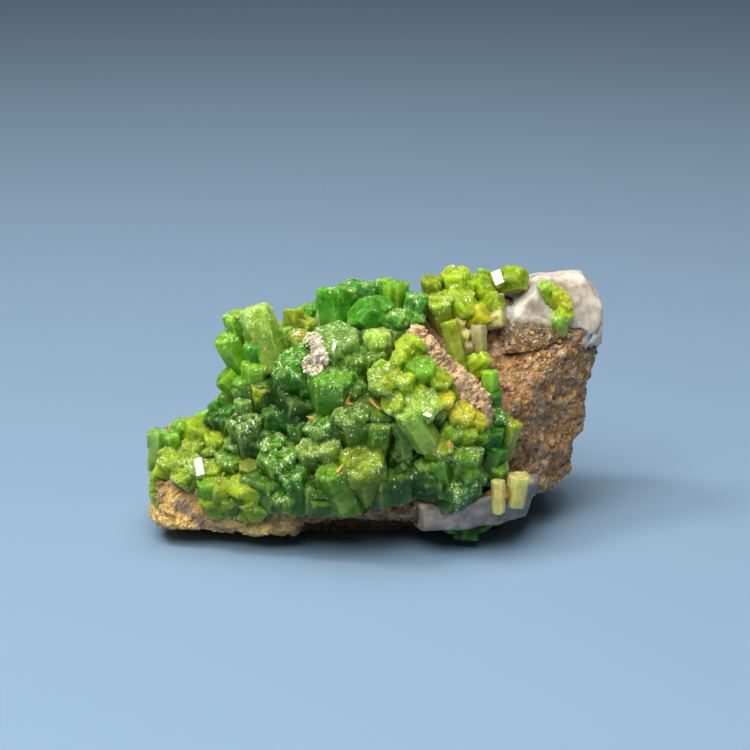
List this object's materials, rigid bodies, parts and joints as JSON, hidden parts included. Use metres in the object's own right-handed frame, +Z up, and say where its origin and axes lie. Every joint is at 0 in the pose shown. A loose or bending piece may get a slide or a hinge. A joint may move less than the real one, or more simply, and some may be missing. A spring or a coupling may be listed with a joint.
{
  "type": "pyromorphite specimen",
  "caption": "Hand specimen of stubby green hexagonal pyromorphite crystals crowded on brown iron-stained quartz, with milky quartz patches, lying on its broken base.",
  "frame": {"origin": "on the surface that it stands on, under the middle of its bounding box", "axes": "+Z up, +X to the right along its length as the picture shows it, -Y towards the viewer, the side with the crystals"},
  "size_m": [0.0511, 0.0307, 0.0305],
  "materials": {
    "iron_stained_quartz": "matte",
    "milky_quartz": "satin",
    "green_pyromorphite": "gloss",
    "yellow_green_pyromorphite": "gloss",
    "dark_pyromorphite": "gloss",
    "olive_pyromorphite": "gloss"
  },
  "bodies": {
    "root": {"matrix": "iron_stained_quartz", "milky_quartz_cap": "milky_quartz", "milky_quartz_base": "milky_quartz", "main_crust": "green_pyromorphite", "ridge_crystals": "yellow_green_pyromorphite", "hollow_crystals": "olive_pyromorphite", "column_crystals": "dark_pyromorphite", "base_crystals": "olive_pyromorphite", "cap_crystals": "yellow_green_pyromorphite", "underside_crystals": "dark_pyromorphite", "back_crystals": "green_pyromorphite"}
  },
  "joints": []
}
